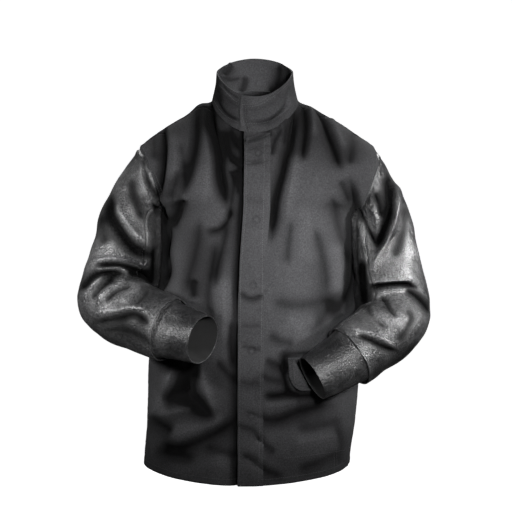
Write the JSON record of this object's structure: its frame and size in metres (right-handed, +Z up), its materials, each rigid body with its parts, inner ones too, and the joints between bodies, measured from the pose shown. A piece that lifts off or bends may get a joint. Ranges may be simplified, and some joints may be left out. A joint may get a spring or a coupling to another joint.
{
  "type": "leather sleeved welding jacket",
  "caption": "Charcoal cotton welding jacket in its worn shape, with a stand collar, a covered front and two-panel leather sleeves.",
  "frame": {"origin": "middle of the neck opening at the height where the jacket sits on the shoulders", "axes": "+Z up, the front faces -Y, +X to the wearer's left"},
  "size_m": [0.6998, 0.3615, 0.8375],
  "materials": {
    "cotton": "matte charcoal cotton drill",
    "leather": "semi-gloss black grained leather"
  },
  "bodies": {
    "root": {"front_right": "cotton", "front_left": "cotton", "back": "cotton", "collar": "cotton", "placket": "cotton", "pocket_flap": "cotton", "sleeve_right_outer": "leather", "sleeve_right_inner": "leather", "sleeve_left_outer": "leather", "sleeve_left_inner": "leather", "cuff_right": "leather", "cuff_left": "leather"}
  },
  "joints": []
}
